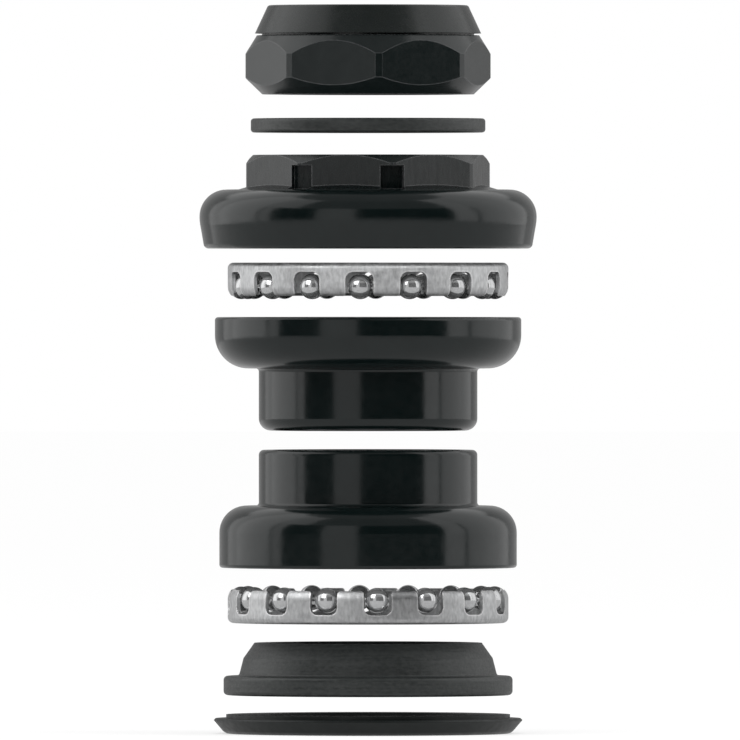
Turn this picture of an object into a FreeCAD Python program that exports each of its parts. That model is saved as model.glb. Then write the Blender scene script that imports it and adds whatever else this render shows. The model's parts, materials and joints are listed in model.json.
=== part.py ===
"""A threaded bicycle headset, drawn apart along its axis: two caged ball bearings, cups, races and locknut.

Millimetres. +Z is the steerer's axis, pointing up, and the origin is under the middle of the crown seal.
Every piece is turned about that axis. The pieces stand one above the other with a named gap between them.
"""
import FreeCAD, Part
import os
import math
import Sketcher

document = FreeCAD.newDocument("headset")
sheet = document.addObject("Spreadsheet::Sheet", "sizes")

# Each driving size: its name, its value and what it is.
SIZES = [
    ("thread_r", 13.75, "crest of the steerer's thread inside the locknut and the top race"),
    ("steerer_pass_r", 14.5, "plain hole that clears the steerer"),
    ("cup_bore_r", 15.0, "hole through both cups"),
    ("race_seat_r", 15.0, "bore of the crown race, pressed on the fork"),
    ("spigot_r", 17.05, "outside of both spigots, pressed in the head tube"),
    ("stem_pass_r", 12.9, "hole in the cap seal for the stem's quill"),
    ("ball_r", 1.984, "bearing ball"),
    ("ball_count", 16, "balls in a cage"),
    ("ball_inset", 2.1, "from a cage's outside in to the balls' centres"),
    ("race_over_ball", 0.12, "how much rounder a ball race is than its ball"),
    ("cage_wall", 0.65, "sheet of a cage"),
    ("cage_tall", 5.35, "height of a cage"),
    ("cage_bend", 0.9, "outer bend between a cage's wall and its ring"),
    ("cage_ring_w", 2.3, "width of a cage's flat ring"),
    ("window_w", 4.7, "width of a ball's window"),
    ("window_sill", 1.4, "closed band of the cage beside its ring"),
    ("window_corner", 0.9, "rounding of a window's corners"),
    ("ball_rise", 0.35, "how far a ball stands out past its cage's open edge"),
    ("cage_play", 0.25, "room between a cage and its cup's wall"),
    ("seal_tall", 3.0, "height of the crown seal"),
    ("seal_ring_r", 22.15, "raised ring of the crown seal"),
    ("seal_lip_r", 24.1, "tip of the crown seal's lip"),
    ("seal_lip_rise", 2.1, "height of the lip's tip"),
    ("seal_lip_thick", 0.3, "thickness of the lip's tip"),
    ("seal_foot_r", 22.3, "foot of the lip's cone"),
    ("seal_foot_round", 1.3, "rounding of that foot"),
    ("crown_flange_r", 22.55, "flange of the crown race"),
    ("crown_flange_thick", 3.0, "thickness of that flange"),
    ("crown_flange_round", 0.65, "rounded edges of that flange"),
    ("crown_neck_r", 20.15, "foot of the crown race's neck"),
    ("crown_neck_top_r", 19.45, "top of the neck, where the cone starts"),
    ("crown_neck_tall", 2.75, "height of the neck"),
    ("crown_root_round", 0.6, "rounding between the neck and the flange"),
    ("crown_cone_top_r", 17.75, "top of the cone that the balls run on"),
    ("crown_cone_tall", 2.4, "height of that cone"),
    ("crown_bore_lead", 0.6, "lead-in at the ends of the crown race's bore"),
    ("low_flange_r", 23.2, "flange of the lower cup"),
    ("low_flange_tall", 9.7, "height of that flange"),
    ("low_shoulder", 4.2, "rounding from that flange to its spigot"),
    ("spigot_root_round", 0.5, "rounding between a spigot and its flange"),
    ("round_land", 0.3, "least flat strip beside a large rounding"),
    ("spigot_edge", 0.1, "least flat end of a spigot"),
    ("low_rim_round", 0.5, "rounded rim of the lower cup"),
    ("low_spigot_tall", 8.7, "length of the lower spigot"),
    ("low_spigot_round", 0.8, "lead-in of the lower spigot"),
    ("low_bowl_deep", 4.9, "depth of the lower cup's bowl"),
    ("low_bowl_wall", 1.05, "wall round the lower cup's bowl"),
    ("top_flange_r", 23.9, "flange of the upper cup"),
    ("top_flange_tall", 8.0, "height of that flange"),
    ("top_shoulder", 5.2, "rounding from that flange to its spigot"),
    ("top_rim_round", 0.5, "rounded rim of the upper cup"),
    ("top_spigot_tall", 9.7, "length of the upper spigot"),
    ("top_spigot_round", 1.9, "lead-in of the upper spigot"),
    ("top_bowl_deep", 4.3, "depth of the upper cup's bowl"),
    ("top_bowl_wall", 1.75, "wall round the upper cup's bowl"),
    ("bowl_lead", 1.2, "slope from a bowl's floor into the bore"),
    ("skirt_r", 26.3, "widest part of the top race's skirt"),
    ("skirt_lean", 0.75, "how much the skirt draws in towards its lower edge"),
    ("skirt_band", 0.7, "upright band at the widest part"),
    ("skirt_waist_round", 7.0, "soft bend from that band to the leaning part below it"),
    ("skirt_tall", 9.2, "height of the whole skirt"),
    ("skirt_round", 4.2, "rounded shoulder of the skirt"),
    ("skirt_wall", 1.25, "wall of the skirt at its lower edge"),
    ("skirt_edge_round", 0.8, "rounded lower edge of the skirt"),
    ("roof_thick", 2.0, "top of the skirt above the bearing"),
    ("roof_round", 1.6, "inner rounding between the roof and the skirt"),
    ("hub_rise", 1.6, "how far the hub stops short of the skirt's lower edge"),
    ("hub_r", 17.75, "lower end of the hub's cone"),
    ("hub_cone_r", 19.45, "upper end of the cone that the balls run on"),
    ("hub_cone_tall", 2.4, "height of that cone"),
    ("hub_end_tall", 0.8, "plain end of the hub below its cone"),
    ("collar_r", 19.3, "corners of the top race's octagon"),
    ("collar_tall", 5.4, "height of that octagon"),
    ("collar_chamfer", 1.35, "chamfer at the octagon's top"),
    ("collar_flats", 36.0, "width across the octagon's flats"),
    ("collar_turn", -11.0, "turn of the octagon about the axis, in degrees"),
    ("foot_cone_r", 20.3, "foot of the cone that the flats run out on"),
    ("foot_cone_tall", 1.7, "height of that cone"),
    ("notch_w", 3.7, "width of a spanner notch"),
    ("notch_deep", 1.35, "depth of a spanner notch from the corner"),
    ("notch_roof", 1.65, "solid part above a notch"),
    ("washer_r", 18.3, "lock washer"),
    ("washer_thick", 2.2, "thickness of the lock washer"),
    ("washer_round", 0.5, "rounded rim of the lock washer"),
    ("key_w", 4.0, "width of the washer's key"),
    ("key_deep", 1.3, "how far the key reaches into the steerer's groove"),
    ("key_root", 0.65, "how far the key's root reaches into the washer's ring"),
    ("nut_r", 19.15, "corners of the locknut"),
    ("nut_flats", 35.8, "width across the locknut's flats"),
    ("nut_tall", 9.2, "height of the locknut"),
    ("nut_turn", 27.5, "turn of the locknut about the axis, in degrees"),
    ("nut_top_r", 17.35, "top face of the locknut"),
    ("nut_top_chamfer", 2.9, "height of the upper chamfer"),
    ("nut_foot_r", 16.5, "lower face of the locknut"),
    ("nut_foot_chamfer", 2.55, "height of the lower chamfer"),
    ("nut_lip_r", 13.1, "hole in the locknut's top lip"),
    ("nut_lip_thick", 1.6, "thickness of that lip"),
    ("nut_bore_lead", 0.7, "lead-in of the thread"),
    ("cap_foot_r", 17.65, "foot of the cap seal"),
    ("cap_top_r", 15.6, "top of the cap seal"),
    ("cap_tall", 4.7, "height of the cap seal"),
    ("cap_groove_r", 16.55, "groove between the cap seal and the nut"),
    ("cap_groove_tall", 0.3, "height of that groove"),
    ("cap_top_round", 0.5, "rounded upper edge of the cap seal"),
    ("cap_bore_round", 0.6, "rounded edge of the cap seal's hole"),
    ("gap_seal", 3.0, "from the crown seal up to the crown race"),
    ("gap_crown", 3.1, "from the crown race up to the lower cage"),
    ("gap_low_balls", 2.9, "from the lower balls up to the lower cup"),
    ("gap_spigots", 3.0, "between the two spigots"),
    ("gap_top_balls", 2.8, "from the upper cup up to the upper balls"),
    ("gap_skirt", 2.2, "from the upper cage up to the top race"),
    ("gap_washer", 3.5, "from the top race up to the lock washer"),
    ("gap_nut", 3.75, "from the lock washer up to the locknut"),
    ("low_cage_turn", 4.0, "turn of the lower cage about the axis, in degrees"),
    ("top_cage_turn", -3.5, "turn of the upper cage about the axis, in degrees"),
]
FLATS = 8
# The first notched corner of the top race, in sides of its octagon from the body's X axis.
FIRST_NOTCH = 1.5
# Direction of the first ball, in degrees from +X.
FRONT_ANGLE = -90
# How near an edge must be to a named place, and the least volume that a cut must take away.
NEAR = 1e-4
LEAST_CUT = 1e-6

for row, (name, value, meaning) in enumerate(SIZES, start=1):
    sheet.set(f"A{row}", meaning)
    sheet.set(f"B{row}", str(value))
    sheet.setAlias(f"B{row}", name)
document.recompute()

NAMES = {name for name, value, meaning in SIZES}


def bound(expression):
    """Writes an expression of size names as one that other objects can hold."""
    words = []
    word = ""
    for letter in expression + " ":
        if letter.isalnum() or letter == "_":
            word += letter
            continue
        words.append(f"sizes.{word}" if word in NAMES else word)
        words.append(letter)
        word = ""
    return "".join(words).strip()


def value_of(expression):
    """The number that an expression of size names gives."""
    result = sheet.evalExpression(bound(expression))
    return float(getattr(result, "Value", result))


def origin_item(body, role):
    """One of a body's own origin planes or axes."""
    return next(item for item in body.Origin.OriginFeatures if item.Role == role)


def new_body(label, base, turn="0"):
    """A body that stands at a height on the axis, turned about it by an angle in degrees."""
    body = document.addObject("PartDesign::Body", label)
    body.Label = label
    body.setExpression("Placement.Base.z", bound(base))
    body.Placement.Rotation = FreeCAD.Rotation(FreeCAD.Vector(0, 0, 1), 0)
    body.setExpression("Placement.Rotation.Angle", f"({bound(turn)}) * 1 deg")
    return body


def new_sketch(body, name, plane):
    """A sketch on one of the body's own origin planes."""
    sketch = body.newObject("Sketcher::SketchObject", f"{body.Label}_{name}")
    sketch.AttachmentSupport = (origin_item(body, plane), [""])
    sketch.MapMode = "FlatFace"
    return sketch


def fix_coordinate(sketch, kind, axis, geometry, expression):
    """Ties one coordinate of a line's first point to the sizes."""
    number = value_of(expression)
    if expression == "0":
        sketch.addConstraint(Sketcher.Constraint("PointOnObject", geometry, 1, axis))
        return
    index = sketch.addConstraint(Sketcher.Constraint(kind, -1, 1, geometry, 1, number))
    sketch.setExpression(f"Constraints[{index}]", bound(expression))


def outline(body, name, plane, *loops):
    """A sketch of closed loops of straight lines through points, each given as two expressions."""
    sketch = new_sketch(body, name, plane)
    for points in loops:
        first = sketch.GeometryCount
        count = len(points)
        places = [FreeCAD.Vector(value_of(across), value_of(up), 0) for across, up in points]
        for start, end in zip(places, places[1:] + places[:1]):
            sketch.addGeometry(Part.LineSegment(start, end), False)
        for line in range(count):
            following = first + (line + 1) % count
            sketch.addConstraint(Sketcher.Constraint("Coincident", first + line, 2, following, 1))
        for line, (across, up) in enumerate(points, start=first):
            fix_coordinate(sketch, "DistanceX", -2, line, across)
            fix_coordinate(sketch, "DistanceY", -1, line, up)
    return sketch


def turned(body, name, points):
    """Adds a section turned about the axis."""
    sketch = outline(body, name, "XZ_Plane", points)
    feature = body.newObject("PartDesign::Revolution", f"{body.Label}_{name}_turned")
    feature.Profile = sketch
    feature.ReferenceAxis = (origin_item(body, "Z_Axis"), [""])
    feature.Angle = 360
    document.recompute()
    return feature


def rounded(body, name, radius, places):
    """Rounds the turned edges at the given places, each a radius and a height."""
    base = body.Tip
    wanted = [(value_of(across), value_of(up)) for across, up in places]
    edges = []
    for index, edge in enumerate(base.Shape.Edges, start=1):
        curve = edge.Curve
        if not isinstance(curve, Part.Circle):
            continue
        # Shapes of features in a body are in the body's own frame.
        for across, up in wanted:
            if abs(curve.Radius - across) < NEAR and abs(curve.Center.z - up) < NEAR:
                edges.append(f"Edge{index}")
    if len(edges) < len(wanted):
        raise ValueError(f"{body.Label}: {name} found {len(edges)} of {len(wanted)} edges")
    feature = body.newObject("PartDesign::Fillet", f"{body.Label}_{name}")
    feature.Base = (base, edges)
    feature.setExpression("Radius", bound(radius))
    document.recompute()
    return feature


def within(radius, room, land="round_land"):
    """A rounding's radius, which is never more than its wall has room for."""
    return f"min({radius}; {room} - {land})"


def repeated(body, name, feature, count):
    """Repeats a cut evenly round the axis."""
    pattern = body.newObject("PartDesign::PolarPattern", f"{body.Label}_{name}")
    pattern.Originals = [feature]
    pattern.Axis = (origin_item(body, "Z_Axis"), [""])
    pattern.Angle = 360
    pattern.setExpression("Occurrences", bound(count))
    body.Tip = pattern
    document.recompute()
    return pattern


def cut(body, name, sketch, depth, away):
    """Cuts a sketch's outline out of the body to one side of its plane."""
    before = body.Tip.Shape.Volume
    pocket = body.newObject("PartDesign::Pocket", f"{body.Label}_{name}")
    pocket.Profile = sketch
    pocket.Reversed = away
    pocket.setExpression("Length", bound(depth))
    document.recompute()
    if pocket.Shape.Volume > before - LEAST_CUT:
        raise ValueError(f"{body.Label}: {name} cut nothing")
    return pocket


def flats(body, across_flats, corner_r, tall):
    """Cuts the wrench flats of an octagon into a round blank."""
    flat = f"{across_flats} / 2"
    outside = f"2 * {corner_r} - {flat}"
    # Half of one side of the octagon that has these flats.
    half = f"{flat} * tan(180 deg / {FLATS})"
    sketch = outline(body, "flat", "XY_Plane", [
        (flat, f"-1 * {half}"),
        (outside, f"-1 * {half}"),
        (outside, half),
        (flat, half),
    ])
    pocket = cut(body, "flat_cut", sketch, tall, True)
    repeated(body, "flats", pocket, str(FLATS))


def make_crown_seal(base):
    """A rubber ring under the crown race, with a thin lip that flares out."""
    body = new_body("crown_seal", base)
    lip_top = "seal_lip_rise + seal_lip_thick"
    turned(body, "section", [
        ("race_seat_r + crown_bore_lead", "0"),
        ("seal_foot_r", "0"),
        ("seal_lip_r", "seal_lip_rise"),
        ("seal_lip_r - seal_lip_thick", lip_top),
        ("seal_ring_r", lip_top),
        ("seal_ring_r", "seal_tall"),
        ("race_seat_r + crown_bore_lead", "seal_tall"),
    ])
    rounded(body, "foot_round", "seal_foot_round", [("seal_foot_r", "0")])
    return body


def make_crown_race(base):
    """The fork's race: a flange, a neck and the cone that the lower balls run on."""
    body = new_body("crown_race", base)
    neck_top = "crown_flange_thick + crown_neck_tall"
    cone_top = f"{neck_top} + crown_cone_tall"
    turned(body, "section", [
        ("race_seat_r + crown_bore_lead", "0"),
        ("crown_flange_r", "0"),
        ("crown_flange_r", "crown_flange_thick"),
        ("crown_neck_r", "crown_flange_thick"),
        ("crown_neck_top_r", neck_top),
        ("crown_cone_top_r", cone_top),
        ("race_seat_r + crown_bore_lead", cone_top),
        ("race_seat_r", f"{cone_top} - crown_bore_lead"),
        ("race_seat_r", "crown_bore_lead"),
    ])
    rounded(body, "flange_round", "crown_flange_round", [
        ("crown_flange_r", "0"),
        ("crown_flange_r", "crown_flange_thick"),
    ])
    rounded(body, "root_round", "crown_root_round", [("crown_neck_r", "crown_flange_thick")])
    return body


def make_cage(label, base, turn, cage_r, ring_up):
    """A pressed cage: a flat ring, and a wall with a window for each ball, open at the far edge."""
    body = new_body(label, base, turn)

    def up(height):
        return f"cage_tall - ({height})" if ring_up else height

    inner = f"{cage_r} - cage_wall"
    turned(body, "section", [
        (f"{cage_r} - cage_ring_w", up("0")),
        (cage_r, up("0")),
        (cage_r, up("cage_tall")),
        (inner, up("cage_tall")),
        (inner, up("cage_wall")),
        (f"{cage_r} - cage_ring_w", up("cage_wall")),
    ])
    rounded(body, "bend", "cage_bend", [(cage_r, up("0"))])
    rounded(body, "inner_bend", "cage_bend - cage_wall", [(inner, up("cage_wall"))])
    sketch = window_sketch(body, up)
    pocket = cut(body, "window", sketch, f"{cage_r} + cage_wall", False)
    repeated(body, "windows", pocket, "ball_count")
    return body


def window_sketch(body, up):
    """A window with two rounded corners beside the ring, open past the cage's edge."""
    sketch = new_sketch(body, "window_outline", "XZ_Plane")
    half = value_of("window_w / 2")
    corner = value_of("window_corner")
    open_edge = "cage_tall + window_corner"
    sill = value_of(up("window_sill"))
    mouth = value_of(up(open_edge))
    way = 1 if mouth > sill else -1
    turn_z = sill + way * corner
    quarter = math.pi / 2

    def line(x0, z0, x1, z1):
        return Part.LineSegment(FreeCAD.Vector(x0, z0, 0), FreeCAD.Vector(x1, z1, 0))

    def bend(x, start):
        circle = Part.Circle(FreeCAD.Vector(x, turn_z, 0), FreeCAD.Vector(0, 0, 1), corner)
        return Part.ArcOfCircle(circle, start, start + quarter)

    left_start = 2 * quarter if way > 0 else quarter
    right_start = 3 * quarter if way > 0 else 0
    shapes = [
        line(-half, mouth, half, mouth),
        line(half, mouth, half, turn_z),
        bend(half - corner, right_start),
        line(half - corner, sill, corner - half, sill),
        bend(corner - half, left_start),
        line(-half, turn_z, -half, mouth),
    ]
    for shape in shapes:
        sketch.addGeometry(shape, False)
    # An arc runs anticlockwise, so its ends swap over when the window points down.
    first, last = (2, 1) if way > 0 else (1, 2)
    for kind, *ends in [
        ("Coincident", 0, 2, 1, 1),
        ("Tangent", 1, 2, 2, first),
        ("Tangent", 2, last, 3, 1),
        ("Tangent", 3, 2, 4, first),
        ("Tangent", 4, last, 5, 1),
        ("Coincident", 5, 2, 0, 1),
    ]:
        sketch.addConstraint(Sketcher.Constraint(kind, *ends))
    sketch.addConstraint(Sketcher.Constraint("Horizontal", 3))
    sketch.addConstraint(Sketcher.Constraint("Vertical", 1))
    sketch.addConstraint(Sketcher.Constraint("Equal", 2, 4))
    sketch.addConstraint(Sketcher.Constraint("Symmetric", 0, 1, 0, 2, -2))
    for kind, geometry, point, expression in [
        ("DistanceX", 0, 2, "window_w / 2"),
        ("DistanceY", 0, 2, up(open_edge)),
        ("DistanceY", 3, 1, up("window_sill")),
    ]:
        constraint = Sketcher.Constraint(kind, -1, 1, geometry, point, value_of(expression))
        index = sketch.addConstraint(constraint)
        sketch.setExpression(f"Constraints[{index}]", bound(expression))
    index = sketch.addConstraint(Sketcher.Constraint("Radius", 2, corner))
    sketch.setExpression(f"Constraints[{index}]", bound("window_corner"))
    return sketch


def make_balls(prefix, centre_height, turn, cage_r):
    """The balls of one cage, each by itself in its window."""
    balls = []
    circle_r = bound(f"({cage_r} - ball_inset)")
    for number in range(int(value_of("ball_count"))):
        ball = document.addObject("Part::Sphere", f"{prefix}_{number + 1:02d}")
        ball.Label = f"{prefix}_{number + 1:02d}"
        angle = f"({FRONT_ANGLE} + {bound(turn)} + {number} * 360 / sizes.ball_count) * 1 deg"
        ball.setExpression("Radius", bound("ball_r"))
        ball.setExpression("Placement.Base.x", f"{circle_r} * cos({angle})")
        ball.setExpression("Placement.Base.y", f"{circle_r} * sin({angle})")
        ball.setExpression("Placement.Base.z", bound(centre_height))
        balls.append(ball)
    document.recompute()
    return balls


def make_lower_cup(base):
    """The lower cup: a bowl that opens down over the balls, and a spigot that goes up the head tube."""
    body = new_body("lower_cup", base)
    bowl_r = "low_flange_r - low_bowl_wall"
    total = "low_flange_tall + low_spigot_tall"
    turned(body, "section", [
        ("cup_bore_r", "low_bowl_deep + bowl_lead"),
        ("cup_bore_r + bowl_lead", "low_bowl_deep"),
        (bowl_r, "low_bowl_deep"),
        (bowl_r, "0"),
        ("low_flange_r", "0"),
        ("low_flange_r", "low_flange_tall"),
        ("spigot_r", "low_flange_tall"),
        ("spigot_r", total),
        ("cup_bore_r", total),
    ])
    rounded(body, "ball_race", "ball_r + race_over_ball", [(bowl_r, "low_bowl_deep")])
    shoulder = within("low_shoulder", "low_flange_r - spigot_r - spigot_root_round")
    rounded(body, "shoulder", shoulder, [("low_flange_r", "low_flange_tall")])
    rounded(body, "rim", "low_rim_round", [("low_flange_r", "0")])
    lead = within("low_spigot_round", "spigot_r - cup_bore_r", "spigot_edge")
    rounded(body, "lead", lead, [("spigot_r", total)])
    rounded(body, "root_round", "spigot_root_round", [("spigot_r", "low_flange_tall")])
    return body


def make_upper_cup(base):
    """The upper cup: a spigot that goes down the head tube, and a bowl that holds the balls."""
    body = new_body("upper_cup", base)
    bowl_r = "top_flange_r - top_bowl_wall"
    total = "top_flange_tall + top_spigot_tall"
    floor = f"{total} - top_bowl_deep"
    turned(body, "section", [
        ("cup_bore_r", "0"),
        ("spigot_r", "0"),
        ("spigot_r", "top_spigot_tall"),
        ("top_flange_r", "top_spigot_tall"),
        ("top_flange_r", total),
        (bowl_r, total),
        (bowl_r, floor),
        ("cup_bore_r + bowl_lead", floor),
        ("cup_bore_r", f"{floor} - bowl_lead"),
    ])
    rounded(body, "ball_race", "ball_r + race_over_ball", [(bowl_r, floor)])
    shoulder = within("top_shoulder", "top_flange_r - spigot_r - spigot_root_round")
    rounded(body, "shoulder", shoulder, [("top_flange_r", "top_spigot_tall")])
    rounded(body, "rim", "top_rim_round", [("top_flange_r", total)])
    lead = within("top_spigot_round", "spigot_r - cup_bore_r", "spigot_edge")
    rounded(body, "lead", lead, [("spigot_r", "0")])
    rounded(body, "root_round", "spigot_root_round", [("spigot_r", "top_spigot_tall")])
    return body


def make_top_race(base):
    """The threaded top race: an octagon for a wrench, a bell skirt, and a cone that the balls run on."""
    body = new_body("top_race", base, "collar_turn")
    total = "skirt_tall + collar_tall"
    turned(body, "collar", [
        ("thread_r", "skirt_tall"),
        ("collar_r", "skirt_tall"),
        ("collar_r", f"{total} - collar_chamfer"),
        ("collar_r - collar_chamfer", total),
        ("thread_r + nut_bore_lead", total),
        ("thread_r", f"{total} - nut_bore_lead"),
    ])
    flats(body, "collar_flats", "collar_r", total)
    hub_end = "hub_rise + hub_end_tall"
    cone_top = f"{hub_end} + hub_cone_tall"
    roof = "skirt_tall - roof_thick"
    shoulder = within("skirt_round", "skirt_r - foot_cone_r")
    waist = f"(skirt_tall - {shoulder} - skirt_band)"
    edge_r = "skirt_r - skirt_lean"
    turned(body, "skirt", [
        ("thread_r", "hub_rise"),
        ("hub_r", "hub_rise"),
        ("hub_r", hub_end),
        ("hub_cone_r", cone_top),
        ("hub_cone_r", roof),
        (f"{edge_r} - skirt_wall", roof),
        (f"{edge_r} - skirt_wall", "0"),
        (edge_r, "0"),
        ("skirt_r", waist),
        ("skirt_r", "skirt_tall"),
        ("foot_cone_r", "skirt_tall"),
        ("thread_r + nut_bore_lead", "skirt_tall + foot_cone_tall"),
        ("thread_r", "skirt_tall"),
    ])
    rounded(body, "skirt_shoulder", shoulder, [("skirt_r", "skirt_tall")])
    bend = within("skirt_waist_round", f"2 * skirt_band * {waist} / skirt_lean")
    rounded(body, "skirt_waist", bend, [("skirt_r", waist)])
    rounded(body, "skirt_edge", "skirt_edge_round", [(edge_r, "0")])
    rounded(body, "roof_bend", "roof_round", [(f"{edge_r} - skirt_wall", roof)])
    notches(body)
    return body


def notches(body):
    """Cuts spanner notches into two neighbouring corners of the octagon, and into the two opposite."""
    side = 360 / FLATS
    corner = FIRST_NOTCH * side
    sketch = outline(body, "notch", "XY_Plane", notch_loop(corner), notch_loop(corner + side))
    sketch.setExpression("AttachmentOffset.Base.z", bound("skirt_tall"))
    document.recompute()
    pocket = cut(body, "notch_cut", sketch, "collar_tall - notch_roof", True)
    repeated(body, "notches", pocket, "2")


def notch_loop(angle):
    """The outline of one notch, square to the corner at an angle in degrees."""
    def place(out, aside):
        across = f"({out}) * cos({angle} deg) - ({aside}) * sin({angle} deg)"
        up = f"({out}) * sin({angle} deg) + ({aside}) * cos({angle} deg)"
        return across, up

    floor = "collar_r - notch_deep"
    outside = "foot_cone_r + notch_deep"
    return [
        place(floor, "-0.5 * notch_w"),
        place(outside, "-0.5 * notch_w"),
        place(outside, "0.5 * notch_w"),
        place(floor, "0.5 * notch_w"),
    ]


def make_lock_washer(base):
    """A keyed washer that keeps the locknut from turning the top race."""
    body = new_body("lock_washer", base)
    turned(body, "section", [
        ("steerer_pass_r", "0"),
        ("washer_r", "0"),
        ("washer_r", "washer_thick"),
        ("steerer_pass_r", "washer_thick"),
    ])
    rounded(body, "rim", "washer_round", [("washer_r", "0"), ("washer_r", "washer_thick")])
    sketch = outline(body, "key", "XY_Plane", [
        ("-0.5 * key_w", "steerer_pass_r - key_deep"),
        ("0.5 * key_w", "steerer_pass_r - key_deep"),
        ("0.5 * key_w", "steerer_pass_r + key_root"),
        ("-0.5 * key_w", "steerer_pass_r + key_root"),
    ])
    key = body.newObject("PartDesign::Pad", "lock_washer_key_pad")
    key.Profile = sketch
    key.setExpression("Length", bound("washer_thick"))
    document.recompute()
    return body


def make_locknut(base):
    """The octagonal locknut, chamfered at both ends, with a lip over the steerer's end."""
    body = new_body("locknut", base, "nut_turn")
    lip = "nut_tall - nut_lip_thick"
    turned(body, "section", [
        ("thread_r + nut_bore_lead", "0"),
        ("nut_foot_r", "0"),
        ("nut_r", "nut_foot_chamfer"),
        ("nut_r", "nut_tall - nut_top_chamfer"),
        ("nut_top_r", "nut_tall"),
        ("nut_lip_r", "nut_tall"),
        ("nut_lip_r", lip),
        ("thread_r", lip),
        ("thread_r", "nut_bore_lead"),
    ])
    flats(body, "nut_flats", "nut_r", "nut_tall")
    return body


def make_cap_seal(base):
    """A conical seal on the locknut, with a thin groove above the nut."""
    body = new_body("cap_seal", base)
    turned(body, "section", [
        ("stem_pass_r", "0"),
        ("cap_groove_r", "0"),
        ("cap_groove_r", "cap_groove_tall"),
        ("cap_foot_r", "cap_groove_tall"),
        ("cap_top_r", "cap_tall"),
        ("stem_pass_r", "cap_tall"),
    ])
    rounded(body, "top_round", "cap_top_round", [("cap_top_r", "cap_tall")])
    rounded(body, "bore_round", "cap_bore_round", [("stem_pass_r", "cap_tall")])
    return body


# The stack, from the floor up: each piece stands a named gap above the one below.
crown_base = "seal_tall + gap_seal"
crown_top = f"{crown_base} + crown_flange_thick + crown_neck_tall + crown_cone_tall"
low_cage_base = f"{crown_top} + gap_crown"
low_ball_top = f"{low_cage_base} + cage_tall + ball_rise"
low_cup_base = f"{low_ball_top} + gap_low_balls"
top_cup_base = f"{low_cup_base} + low_flange_tall + low_spigot_tall + gap_spigots"
top_ball_foot = f"{top_cup_base} + top_spigot_tall + top_flange_tall + gap_top_balls"
top_cage_base = f"{top_ball_foot} + ball_rise"
race_base = f"{top_cage_base} + cage_tall + gap_skirt"
washer_base = f"{race_base} + skirt_tall + collar_tall + gap_washer"
nut_base = f"{washer_base} + washer_thick + gap_nut"
cap_base = f"{nut_base} + nut_tall"

# Each cage fits in its cup's bowl with play all round.
low_cage_r = "low_flange_r - low_bowl_wall - cage_play"
top_cage_r = "top_flange_r - top_bowl_wall - cage_play"

pieces = [
    make_crown_seal("0"),
    make_crown_race(crown_base),
    make_cage("lower_cage", low_cage_base, "low_cage_turn", low_cage_r, False),
    *make_balls("lower_ball", f"{low_ball_top} - ball_r", "low_cage_turn", low_cage_r),
    make_lower_cup(low_cup_base),
    make_upper_cup(top_cup_base),
    make_cage("upper_cage", top_cage_base, "top_cage_turn", top_cage_r, True),
    *make_balls("upper_ball", f"{top_ball_foot} + ball_r", "top_cage_turn", top_cage_r),
    make_top_race(race_base),
    make_lock_washer(washer_base),
    make_locknut(nut_base),
    make_cap_seal(cap_base),
]
document.recompute()

for item in document.Objects:
    if "Invalid" in item.State or "Error" in item.State:
        raise ValueError(f"{item.Label} failed: {item.State}")
for piece in pieces:
    if piece.Shape.isNull() or not piece.Shape.isValid() or len(piece.Shape.Solids) != 1:
        raise ValueError(f"{piece.Label} isn't one valid solid")

os.makedirs("parts", exist_ok=True)
for piece in pieces:
    piece.Shape.exportStep(f"parts/{piece.Label}.step")
    box = piece.Shape.BoundBox
    print(f"{piece.Label}: {piece.Shape.Volume:.1f} mm3, z {box.ZMin:.2f} to {box.ZMax:.2f}")
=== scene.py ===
"""A threaded headset drawn apart on its axis: its finishes, a soft studio and the photograph's camera.

Metres. +Z is the steerer's axis, and the camera looks along +Y from a little above.
"""
import bpy
import json
import math
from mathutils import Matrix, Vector


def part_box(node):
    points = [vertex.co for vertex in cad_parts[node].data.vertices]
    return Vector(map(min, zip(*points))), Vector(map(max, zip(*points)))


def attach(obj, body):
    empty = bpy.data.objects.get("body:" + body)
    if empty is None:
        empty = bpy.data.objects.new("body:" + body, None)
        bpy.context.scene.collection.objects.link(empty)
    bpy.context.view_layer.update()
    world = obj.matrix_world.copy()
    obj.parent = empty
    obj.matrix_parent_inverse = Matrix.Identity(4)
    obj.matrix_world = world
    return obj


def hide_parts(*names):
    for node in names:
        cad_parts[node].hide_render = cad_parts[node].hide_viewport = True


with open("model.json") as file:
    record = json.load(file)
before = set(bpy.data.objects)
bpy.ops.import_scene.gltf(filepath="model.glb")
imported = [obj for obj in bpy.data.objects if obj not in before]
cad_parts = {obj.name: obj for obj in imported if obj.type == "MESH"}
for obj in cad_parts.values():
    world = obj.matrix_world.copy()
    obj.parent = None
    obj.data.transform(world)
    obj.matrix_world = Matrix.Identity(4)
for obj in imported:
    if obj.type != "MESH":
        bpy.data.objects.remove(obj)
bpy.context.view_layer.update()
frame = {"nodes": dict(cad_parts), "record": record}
MM = 0.001
WHITE = (1, 1, 1, 1)

# Finishes: the values of random grain that count as its lowest and its highest.
GRAIN_LOW = 0.3
GRAIN_HIGH = 0.7
# Edges look rounded by the first radius, and get a painted highlight within the second.
EDGE_RADIUS = 0.14 * MM
HIGHLIGHT_RADIUS = 0.22 * MM
EDGE_SAMPLES = 4
# The painted edge highlight starts, and is whole, where the cosine between the rounded and the plain face
# falls to these.
HIGHLIGHT_START = 0.995
HIGHLIGHT_WHOLE = 0.93
# The octagon of the top race is machined above its skirt, where its edges also get a painted highlight.
SKIRT_TOP = 84.85 * MM
# Steerer thread: 26 turns an inch, on the bores that are near this radius.
THREAD_RADIUS = 13.75 * MM
THREAD_NEAR = 0.1 * MM
THREAD_PITCH = 25.4 / 26 * MM
THREAD_DEPTH = 0.45 * MM

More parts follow.
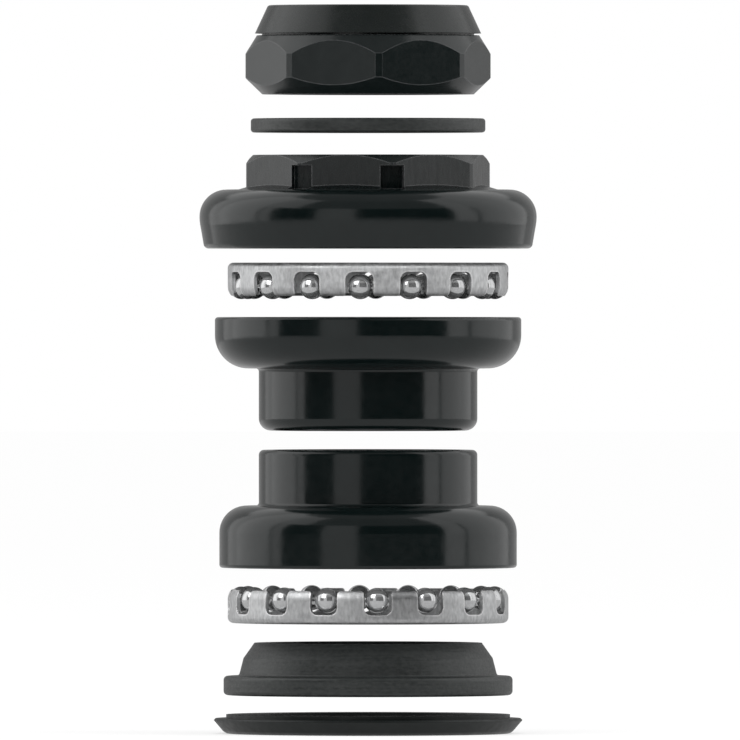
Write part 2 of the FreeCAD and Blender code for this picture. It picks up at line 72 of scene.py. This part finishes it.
# Cages: each is pressed from one sheet, and its prongs curl in between the balls.
# Windows start at their foot above the ring's face, and prongs end a little short of the CAD cage's height.
BALL_COUNT = sum("upper_ball" in name for name in frame["nodes"])
CAGE_WALL = 0.65 * MM
CAGE_RING = 2.3 * MM
CAGE_BEND = 0.9 * MM
WINDOW_WIDTH = 4.4 * MM
WINDOW_FOOT = 1.45 * MM
WINDOW_CORNER = 1.2 * MM
PRONG_CORNER = 0.5 * MM
PRONG_SHORT = 0.15 * MM
PRONG_COLUMNS = 10
WINDOW_COLUMNS = 8
ARC_STEPS = 8
# The sheet's cut edges are rounded where they turn by more than this angle.
CAGE_EDGE = 0.1 * MM
CAGE_EDGE_STEPS = 2
CAGE_EDGE_TURN = math.radians(50)

# Camera: the photograph's frame covers this width about this middle. The rise is in degrees above level.
FRAME_WIDTH = 115.44 * MM
FRAME_MIDDLE = Vector((0.3 * MM, 0, 56.7 * MM))
CAMERA_RISE = 0.2
CAMERA_DISTANCE = 4.0
CAMERA_REACH = 100.0
SENSOR = 36.0

# Studio: a pale floor, a white surround, and cards that only reflections see.
WORLD_LEVEL = 1.0
FLOOR_RADIUS = 8.0
FLOOR_SIDES = 96
FLOOR_COLOUR = (0.97, 0.97, 0.97, 1)
FLOOR_GLOW = 0.6
CARD_RADIUS = 0.6
CARD_STEP = math.radians(4)
CARD_TOP = 0.42
TENT_TOP = 1.3

# Bearings are in degrees: 0 is towards the camera, and they grow to the right of the picture.
# Each standing card: the bearings that it spans, its lowest and highest edge, and how bright it is.
CARDS = {
    "dark_right": (-8, 61, 0, CARD_TOP, 0.0),
    "mid_left": (-36, -8, 0, CARD_TOP, 0.65),
    "dark_left": (-70, -36, 0, CARD_TOP, 0.02),
    "mid_top": (-52, 60, CARD_TOP, TENT_TOP, 0.24),
    "near_left": (-79, -70, 0, TENT_TOP, 1.1),
    "line_left": (-82, -79, 0, CARD_TOP, 0.45),
    "soft_left": (-122, -82, 0, TENT_TOP, 1.42),
    "near_right": (61, 80, 0, TENT_TOP, 1.22),
    "line_right": (80, 83, 0, CARD_TOP, 0.2),
    "soft_right": (83, 115, 0, TENT_TOP, 1.1),
    "grey_back": (138, 222, 0, CARD_TOP, 0.4),
}
# Each lying card: its height and how bright it is. The faces that look down mirror the mat.
DISCS = {
    "grey_mat": (0.4 * MM, 0.6),
    "ceiling": (TENT_TOP, 0.3),
}
# Each lamp: its bearing, its rise in degrees, its distance, its width and its power in watts.
LAMPS = {
    "key": (-40, 45, 0.9, 0.5, 1.5),
    "fill": (70, 50, 1.2, 0.8, 3.0),
    "bearing_key": (-42, 36, 0.5, 0.32, 1.1),
    "bearing_sky": (0, 90, 0.4, 0.6, 0.5),
    "ring_light": (25, 44, 0.5, 0.5, 1.9),
}


def node_tree(material):
    """A material's nodes, emptied but for its output."""
    material.use_nodes = True
    tree = material.node_tree
    tree.nodes.clear()
    output = tree.nodes.new("ShaderNodeOutputMaterial")
    return tree, output


def calculate(tree, kind, first, second=None):
    """One plain calculation on values, each a socket or a number."""
    step = tree.nodes.new("ShaderNodeMath")
    step.operation = kind
    for place, value in enumerate((first, second)):
        if hasattr(value, "node"):
            tree.links.new(value, step.inputs[place])
        elif value is not None:
            step.inputs[place].default_value = value
    return step.outputs[0]


def white_glow(tree, level=1.0):
    """A plain white light of one brightness."""
    glow = tree.nodes.new("ShaderNodeEmission")
    glow.inputs["Color"].default_value = WHITE
    glow.inputs["Strength"].default_value = level
    return glow.outputs[0]


def is_seen(tree):
    """A value of 1 for camera, mirror and see-through rays."""
    path = tree.nodes.new("ShaderNodeLightPath")
    straight = calculate(tree, "MAXIMUM", path.outputs["Is Camera Ray"], path.outputs["Is Glossy Ray"])
    return calculate(tree, "MAXIMUM", straight, path.outputs["Is Transmission Ray"])


def add_object(name, points, faces):
    """A new mesh object in the scene."""
    mesh = bpy.data.meshes.new(name)
    mesh.from_pydata(points, [], faces)
    item = bpy.data.objects.new(name, mesh)
    bpy.context.scene.collection.objects.link(item)
    return item


def add_disc(name, radius, height, sides):
    """A new flat disc about the axis."""
    angles = [2 * math.pi * step / sides for step in range(sides)]
    rim = [(radius * math.cos(angle), radius * math.sin(angle), height) for angle in angles]
    return add_object(name, rim, [list(range(sides))])


def make_world():
    """A white surround, which also lights the object at a plain level."""
    world = bpy.data.worlds.new("studio")
    bpy.context.scene.world = world
    world.use_nodes = True
    tree = world.node_tree
    tree.nodes.clear()
    output = tree.nodes.new("ShaderNodeOutputWorld")
    surround = tree.nodes.new("ShaderNodeBackground")
    surround.inputs["Color"].default_value = WHITE
    surround.inputs["Strength"].default_value = WORLD_LEVEL
    tree.links.new(surround.outputs[0], output.inputs["Surface"])


def make_floor():
    """A round pale floor that keeps a soft shadow."""
    floor = add_disc("floor", FLOOR_RADIUS, 0, FLOOR_SIDES)
    material = bpy.data.materials.new("floor_white")
    tree, output = node_tree(material)
    lit = tree.nodes.new("ShaderNodeBsdfDiffuse")
    lit.inputs["Color"].default_value = FLOOR_COLOUR
    mix = tree.nodes.new("ShaderNodeMixShader")
    tree.links.new(calculate(tree, "MULTIPLY", is_seen(tree), FLOOR_GLOW), mix.inputs["Fac"])
    tree.links.new(lit.outputs[0], mix.inputs[1])
    tree.links.new(white_glow(tree), mix.inputs[2])
    tree.links.new(mix.outputs[0], output.inputs["Surface"])
    floor.data.materials.append(material)


def light_card(card, level):
    """Makes a card glow, for reflections alone."""
    material = bpy.data.materials.new(card.name)
    tree, output = node_tree(material)
    tree.links.new(white_glow(tree, level), output.inputs["Surface"])
    card.data.materials.append(material)
    card.visible_camera = False
    card.visible_diffuse = False
    card.visible_shadow = False
    card.visible_transmission = False


def make_cards():
    """The cards that stand round the object, the mat under it and the ceiling over it."""
    for name, (start, end, low, high, level) in CARDS.items():
        first = math.radians(start)
        span = math.radians(end) - first
        count = math.ceil(span / CARD_STEP) + 1
        points = []
        for step in range(count):
            bearing = first + span * step / (count - 1)
            x = CARD_RADIUS * math.sin(bearing)
            y = -CARD_RADIUS * math.cos(bearing)
            points += [(x, y, low), (x, y, high)]
        faces = [(2 * i, 2 * i + 2, 2 * i + 3, 2 * i + 1) for i in range(count - 1)]
        light_card(add_object(name, points, faces), level)
    sides = round(2 * math.pi / CARD_STEP)
    for name, (height, level) in DISCS.items():
        light_card(add_disc(name, CARD_RADIUS, height, sides), level)


def aim(item, bearing, rise, distance):
    """Stands a lamp or camera away from the middle of the picture, and points it back there."""
    across = math.radians(bearing)
    up = math.radians(rise)
    way = Vector((math.sin(across) * math.cos(up), -math.cos(across) * math.cos(up), math.sin(up)))
    item.location = FRAME_MIDDLE + way * distance
    item.rotation_euler = way.to_track_quat("Z", "Y").to_euler()


def make_lamp(name, lit=None):
    """A square soft lamp that lights the whole object, or only the pieces in a list.

    The photograph's pieces were lit one by one, so only the pieces of a list mirror their lamp.
    """
    bearing, rise, distance, width, power = LAMPS[name]
    lamp = bpy.data.lights.new(name, "AREA")
    lamp.shape = "SQUARE"
    lamp.size = width
    lamp.energy = power
    item = bpy.data.objects.new(name, lamp)
    bpy.context.scene.collection.objects.link(item)
    aim(item, bearing, rise, distance)
    item.visible_camera = False
    item.visible_glossy = lit is not None
    if lit:
        chosen = bpy.data.collections.new(name)
        for piece in lit:
            chosen.objects.link(piece)
        item.light_linking.receiver_collection = chosen
        item.light_linking.blocker_collection = chosen


def make_camera():
    """A long lens at the photograph's angle."""
    data = bpy.data.cameras.new("camera")
    data.sensor_width = SENSOR
    data.lens = SENSOR * CAMERA_DISTANCE / FRAME_WIDTH
    data.clip_end = CAMERA_REACH
    camera = bpy.data.objects.new("camera", data)
    bpy.context.scene.collection.objects.link(camera)
    aim(camera, 0, CAMERA_RISE, CAMERA_DISTANCE)
    bpy.context.scene.camera = camera


def new_finish(name, **values):
    """A new material with one physical shader, and that shader's plain values."""
    material = bpy.data.materials.new(name)
    tree, output = node_tree(material)
    shader = tree.nodes.new("ShaderNodeBsdfPrincipled")
    for socket, value in values.items():
        shader.inputs[socket.replace("_", " ")].default_value = value
    tree.links.new(shader.outputs[0], output.inputs["Surface"])
    return material, tree, shader


def wire(tree, shader, **values):
    """Links values that change over the surface to the shader's sockets of those names."""
    for socket, value in values.items():
        tree.links.new(value, shader.inputs[socket.replace("_", " ")])


def grain(tree, size, stretch=(1, 1, 1), detail=3.0):
    """Soft random patches about as large as size, drawn out along an axis where stretch is small."""
    place = tree.nodes.new("ShaderNodeTexCoord")
    mapping = tree.nodes.new("ShaderNodeMapping")
    mapping.inputs["Scale"].default_value = stretch
    noise = tree.nodes.new("ShaderNodeTexNoise")
    noise.inputs["Scale"].default_value = 1 / size
    noise.inputs["Detail"].default_value = detail
    tree.links.new(place.outputs["Object"], mapping.inputs["Vector"])
    tree.links.new(mapping.outputs["Vector"], noise.inputs["Vector"])
    return noise.outputs["Fac"]


def spread(tree, value, low, high):
    """Spreads a random value between two limits."""
    limits = tree.nodes.new("ShaderNodeMapRange")
    limits.inputs["From Min"].default_value = GRAIN_LOW
    limits.inputs["From Max"].default_value = GRAIN_HIGH
    limits.inputs["To Min"].default_value = low
    limits.inputs["To Max"].default_value = high
    tree.links.new(value, limits.inputs["Value"])
    return limits.outputs["Result"]


def tint(tree, value, dark, light):
    """Spreads a random value between two colours."""
    ramp = tree.nodes.new("ShaderNodeValToRGB")
    ends = ((GRAIN_LOW, dark), (GRAIN_HIGH, light))
    for element, (position, colour) in zip(ramp.color_ramp.elements, ends):
        element.position = position
        element.color = (*colour, 1)
    tree.links.new(value, ramp.inputs["Fac"])
    return ramp.outputs["Color"]


def blend(tree, share, first, second, kind="FLOAT"):
    """Goes from one value or colour to another by a share."""
    mix = tree.nodes.new("ShaderNodeMix")
    mix.data_type = kind
    sockets = {(item.name, item.type): item for item in mix.inputs if item.enabled}
    tree.links.new(share, mix.inputs["Factor"])
    wanted = "RGBA" if kind == "RGBA" else "VALUE"
    for name, value in (("A", first), ("B", second)):
        socket = sockets[(name, wanted)]
        if hasattr(value, "node"):
            tree.links.new(value, socket)
        else:
            socket.default_value = value
    return next(item for item in mix.outputs if item.enabled)


def coordinates(tree):
    """A place on the piece, as its three coordinates in metres."""
    place = tree.nodes.new("ShaderNodeTexCoord")
    split = tree.nodes.new("ShaderNodeSeparateXYZ")
    tree.links.new(place.outputs["Object"], split.inputs[0])
    return split.outputs


def rounded_edges(tree, radius):
    """The way that a surface would face if its edges were rounded."""
    edge = tree.nodes.new("ShaderNodeBevel")
    edge.samples = EDGE_SAMPLES
    edge.inputs["Radius"].default_value = radius
    return edge.outputs["Normal"]


def painted_edge_highlight(tree, radius=HIGHLIGHT_RADIUS):
    """A share for a painted edge highlight: 1 along sharp edges, broken up by grain, and 0 on open faces."""
    plain = tree.nodes.new("ShaderNodeNewGeometry")
    alike = tree.nodes.new("ShaderNodeVectorMath")
    alike.operation = "DOT_PRODUCT"
    tree.links.new(rounded_edges(tree, radius), alike.inputs[0])
    tree.links.new(plain.outputs["Normal"], alike.inputs[1])
    limits = tree.nodes.new("ShaderNodeMapRange")
    limits.inputs["From Min"].default_value = HIGHLIGHT_START
    limits.inputs["From Max"].default_value = HIGHLIGHT_WHOLE
    tree.links.new(alike.outputs["Value"], limits.inputs["Value"])
    patches = spread(tree, grain(tree, 0.5 * MM), low=0.5, high=1.0)
    return calculate(tree, "MULTIPLY", limits.outputs["Result"], patches)


def thread(tree):
    """The height of a helical thread, on the threaded bores alone."""
    x, y, z = coordinates(tree)
    x_squared = calculate(tree, "MULTIPLY", x, x)
    y_squared = calculate(tree, "MULTIPLY", y, y)
    across = calculate(tree, "SQRT", calculate(tree, "ADD", x_squared, y_squared))
    bore = calculate(tree, "COMPARE", across, THREAD_RADIUS)
    bore.node.inputs[2].default_value = THREAD_NEAR
    turn = calculate(tree, "DIVIDE", calculate(tree, "ARCTAN2", y, x), 2 * math.pi)
    phase = calculate(tree, "SUBTRACT", calculate(tree, "DIVIDE", z, THREAD_PITCH), turn)
    # The flank rises over half a pitch and falls over the other half.
    flank = calculate(tree, "PINGPONG", phase, 0.5)
    return calculate(tree, "MULTIPLY", flank, bore)


def raised(tree, height, depth, below=None):
    """A surface raised by a height value to a depth in metres, on top of another."""
    bump = tree.nodes.new("ShaderNodeBump")
    bump.inputs["Strength"].default_value = 1.0
    bump.inputs["Distance"].default_value = depth
    tree.links.new(height, bump.inputs["Height"])
    if below:
        tree.links.new(below, bump.inputs["Normal"])
    return bump.outputs["Normal"]


def relief(tree, shader, height, depth, threaded=False):
    """Rounds a finish's edges, cuts its thread, and raises it by a height value to a depth in metres."""
    below = rounded_edges(tree, EDGE_RADIUS)
    if threaded:
        below = raised(tree, thread(tree), THREAD_DEPTH, below)
    wire(tree, shader, Normal=raised(tree, height, depth, below))


def gloss_black():
    """Black paint with a deep gloss and a faint ripple, and a machined octagon whose edges carry a painted
    highlight.
    """
    material, tree, shader = new_finish("gloss_black")
    octagon = calculate(tree, "GREATER_THAN", coordinates(tree)["Z"], SKIRT_TOP)
    paint = tint(tree, grain(tree, 4 * MM), dark=(0.0018, 0.0045, 0.0045), light=(0.0032, 0.0060, 0.0060))
    # Painted highlight: the octagon's sharp edges are lightened to grey in the base colour.
    bright = (0.11, 0.112, 0.115, 1)
    edges = calculate(tree, "MULTIPLY", painted_edge_highlight(tree), octagon)
    painted = spread(tree, grain(tree, 1.5 * MM), low=0.13, high=0.19)
    machined = spread(tree, grain(tree, 0.5 * MM, stretch=(1, 1, 0.2)), low=0.22, high=0.32)
    wire(tree, shader, Base_Color=blend(tree, edges, paint, bright, "RGBA"),
         Roughness=blend(tree, octagon, painted, machined))
    relief(tree, shader, grain(tree, 0.8 * MM), depth=0.004 * MM, threaded=True)
    return material


def satin_black():
    """Black finish with a soft sheen, and a painted highlight on its edges, as on the nut."""
    material, tree, shader = new_finish("satin_black")
    plain = tint(tree, grain(tree, 2 * MM), dark=(0.0035, 0.0065, 0.0065), light=(0.0060, 0.0090, 0.0090))
    # Painted highlight: the nut's sharp edges are lightened to grey in the base colour.
    bright = (0.10, 0.102, 0.105, 1)
    wire(tree, shader, Base_Color=blend(tree, painted_edge_highlight(tree), plain, bright, "RGBA"),
         Roughness=spread(tree, grain(tree, 0.6 * MM), low=0.17, high=0.24))
    relief(tree, shader, grain(tree, 0.25 * MM), depth=0.004 * MM, threaded=True)
    return material


def black_race():
    """Blackened steel with turning marks and a dusty grain."""
    material, tree, shader = new_finish("black_race")
    marks = grain(tree, 0.5 * MM, stretch=(0.03, 0.03, 1))
    dust = grain(tree, 0.35 * MM, detail=6.0)
    steel = tint(tree, marks, dark=(0.006, 0.0085, 0.008), light=(0.020, 0.0235, 0.023))
    dusty = (0.030, 0.033, 0.032, 1)
    clouds = spread(tree, grain(tree, 0.8 * MM, stretch=(1, 1, 2), detail=6.0), low=0.0, high=0.8)
    rings = raised(tree, marks, depth=0.03 * MM)
    wire(tree, shader, Base_Color=blend(tree, clouds, steel, dusty, "RGBA"),
         Roughness=spread(tree, dust, low=0.34, high=0.52),
         Normal=raised(tree, dust, depth=0.02 * MM, below=rings))
    return material


def seal_rubber():
    """Smooth dark rubber."""
    material, tree, shader = new_finish("seal_rubber", Specular_IOR_Level=0.34)
    rubber = tint(tree, grain(tree, 3 * MM), dark=(0.003, 0.0055, 0.005), light=(0.006, 0.0085, 0.008))
    wire(tree, shader, Base_Color=rubber, Roughness=spread(tree, grain(tree, 1 * MM), low=0.36, high=0.48))
    relief(tree, shader, grain(tree, 0.2 * MM), depth=0.004 * MM)
    return material


def cap_rubber():
    """The cap's smooth satin moulding."""
    material, tree, shader = new_finish("cap_rubber")
    rubber = tint(tree, grain(tree, 3 * MM), dark=(0.003, 0.0055, 0.005), light=(0.0055, 0.008, 0.0075))
    wire(tree, shader, Base_Color=rubber, Roughness=spread(tree, grain(tree, 1 * MM), low=0.22, high=0.30))
    relief(tree, shader, grain(tree, 0.3 * MM), depth=0.003 * MM)
    return material


def cage_steel():
    """Stamped grey sheet steel, frosted and a little uneven, with a painted highlight on its pressed edges.
    """
    material, tree, shader = new_finish("cage_steel", Metallic=1.0)
    frosted = grain(tree, 0.45 * MM, stretch=(1, 1, 0.45), detail=6.0)
    steel = tint(tree, frosted, dark=(0.42, 0.425, 0.43), light=(0.62, 0.625, 0.63))
    # Painted highlight: the pressed edges are lightened to near white in the base colour.
    bright = (0.98, 0.98, 0.98, 1)
    edges = painted_edge_highlight(tree, radius=2 * HIGHLIGHT_RADIUS)
    wire(tree, shader, Base_Color=blend(tree, edges, steel, bright, "RGBA"),
         Roughness=spread(tree, grain(tree, 1.2 * MM), low=0.38, high=0.56))
    relief(tree, shader, grain(tree, 0.6 * MM, stretch=(1, 1, 0.6), detail=5.0), depth=0.04 * MM)
    return material


def ball_steel():
    """Polished bearing steel."""
    material, tree, shader = new_finish("ball_steel", Metallic=0.82)
    steel = tint(tree, grain(tree, 0.6 * MM), dark=(0.52, 0.525, 0.53), light=(0.60, 0.605, 0.61))
    wire(tree, shader, Base_Color=steel, Roughness=spread(tree, grain(tree, 0.8 * MM), low=0.04, high=0.09))
    relief(tree, shader, grain(tree, 0.5 * MM), depth=0.001 * MM)
    return material


FINISHES = {
    "gloss_black": gloss_black,
    "satin_black": satin_black,
    "black_race": black_race,
    "seal_rubber": seal_rubber,
    "cap_rubber": cap_rubber,
    "cage_steel": cage_steel,
    "ball_steel": ball_steel,
}


def dress_nodes():
    """Makes the finishes, and gives every piece the one of its slot in the record."""
    made = {slot: make() for slot, make in FINISHES.items()}
    for part in frame["record"]["subparts"]:
        node = frame["nodes"][part["node"]]
        node.data.materials.clear()
        node.data.materials.append(made[part["material_slot"]])
    return made


def eased(count):
    """Shares from 0 to 1 that lie closer together at their start, as the points of a rounded corner do."""
    return [1 - math.cos(math.pi / 2 * step / count) for step in range(count + 1)]


def rounding(distance, corner):
    """How far a rounded corner has drawn an edge away, at a distance from the corner's end."""
    short = max(corner - distance, 0)
    return corner - math.sqrt(corner ** 2 - short ** 2)


def cage_section(radius, tall, ball_height, inset):
    """A cage's outside from its ring to its prongs' tips: rows of radius, height and half a prong's width."""
    half = math.pi * radius / BALL_COUNT - WINDOW_WIDTH / 2
    foot = half + WINDOW_CORNER
    band = [(radius - CAGE_RING, 0, foot)]
    for step in range(ARC_STEPS + 1):
        angle = math.pi / 2 * step / ARC_STEPS
        across = radius - CAGE_BEND + CAGE_BEND * math.sin(angle)
        band.append((across, CAGE_BEND - CAGE_BEND * math.cos(angle), foot))
    prong = []
    for share in eased(ARC_STEPS):
        above = share * WINDOW_CORNER
        prong.append((radius, WINDOW_FOOT + above, half + rounding(above, WINDOW_CORNER)))
    # The curl is centred on the balls, so that the prongs clear their race.
    tip = math.asin((tall - ball_height) / inset)
    plain = tip - PRONG_CORNER / inset
    turns = [plain * step / ARC_STEPS for step in range(ARC_STEPS)]
    turns += [tip - share * PRONG_CORNER / inset for share in reversed(eased(ARC_STEPS))]
    for turn in turns:
        left = inset * (tip - turn)
        across = radius - inset + inset * math.cos(turn)
        prong.append((across, ball_height + inset * math.sin(turn), half - rounding(left, PRONG_CORNER)))
    return band, prong


def cage_shape(name, ring_up):
    """The points and faces of a cage's outside: a ring, a wall, and a prong between every two balls."""
    low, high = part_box(f"{name}_cage")
    ball_low, ball_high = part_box(f"{name}_ball_01")
    ball = (ball_low + ball_high) / 2
    radius = (high.x - low.x) / 2
    inset = radius - math.hypot(ball.x, ball.y)
    ball_height = high.z - ball.z if ring_up else ball.z - low.z
    band, prong = cage_section(radius, high.z - low.z - PRONG_SHORT, ball_height, inset)
    # Each prong stands halfway between two balls.
    sector = 2 * math.pi / BALL_COUNT
    middles = [math.atan2(ball.y, ball.x) + (number + 0.5) * sector for number in range(BALL_COUNT)]
    points = []
    faces = []

    def place(across, height, angle):
        """Adds a point, and gives its number."""
        z = high.z - height if ring_up else low.z + height
        points.append((across * math.cos(angle), across * math.sin(angle), z))
        return len(points) - 1

    def prong_row(row, middle):
        """Points across one prong."""
        across, height, half = row
        steps = [2 * column / PRONG_COLUMNS - 1 for column in range(PRONG_COLUMNS + 1)]
        return [place(across, height, middle + half / radius * step) for step in steps]

    def band_row(row):
        """Points all the way round, over prongs and windows."""
        across, height, half = row
        gap = sector - 2 * half / radius
        numbers = []
        for middle in middles:
            numbers += prong_row(row, middle)
            start = middle + half / radius
            for column in range(1, WINDOW_COLUMNS):
                numbers.append(place(across, height, start + gap * column / WINDOW_COLUMNS))
        return numbers + numbers[:1]

    def join(before, after):
        """Faces between two rows."""
        for i in range(len(before) - 1):
            face = (before[i], before[i + 1], after[i + 1], after[i])
            faces.append(face[::-1] if ring_up else face)

    rows = [band_row(row) for row in band + prong[:1]]
    for before, after in zip(rows, rows[1:]):
        join(before, after)
    for number, middle in enumerate(middles):
        first = number * (PRONG_COLUMNS + WINDOW_COLUMNS)
        before = rows[-1][first:first + PRONG_COLUMNS + 1]
        for row in prong[1:]:
            after = prong_row(row, middle)
            join(before, after)
            before = after
    return points, faces


def make_cage(name, ring_up, steel):
    """A pressed cage with curled prongs, in place of its node."""
    piece = add_object(f"{name}_pressed_cage", *cage_shape(name, ring_up))
    piece.data.shade_smooth()
    piece.data.materials.append(steel)
    sheet = piece.modifiers.new("sheet", "SOLIDIFY")
    sheet.thickness = CAGE_WALL
    sheet.offset = -1
    sheet.use_even_offset = True
    edge = piece.modifiers.new("edge", "BEVEL")
    edge.width = CAGE_EDGE
    edge.segments = CAGE_EDGE_STEPS
    edge.limit_method = "ANGLE"
    edge.angle_limit = CAGE_EDGE_TURN
    edge.harden_normals = True
    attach(piece, f"{name}_bearing")
    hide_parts(f"{name}_cage")
    return piece


bpy.context.scene.view_settings.view_transform = "Standard"
finishes = dress_nodes()
make_world()
make_floor()
make_camera()
make_cards()
balls = [node for name, node in frame["nodes"].items() if "ball" in name]
lower_cage = make_cage("lower", False, finishes["cage_steel"])
upper_cage = make_cage("upper", True, finishes["cage_steel"])
bearings = balls + [lower_cage, upper_cage]
lit_alone = {"bearing_key": bearings, "bearing_sky": bearings, "ring_light": [upper_cage]}
for name in LAMPS:
    make_lamp(name, lit_alone.get(name))
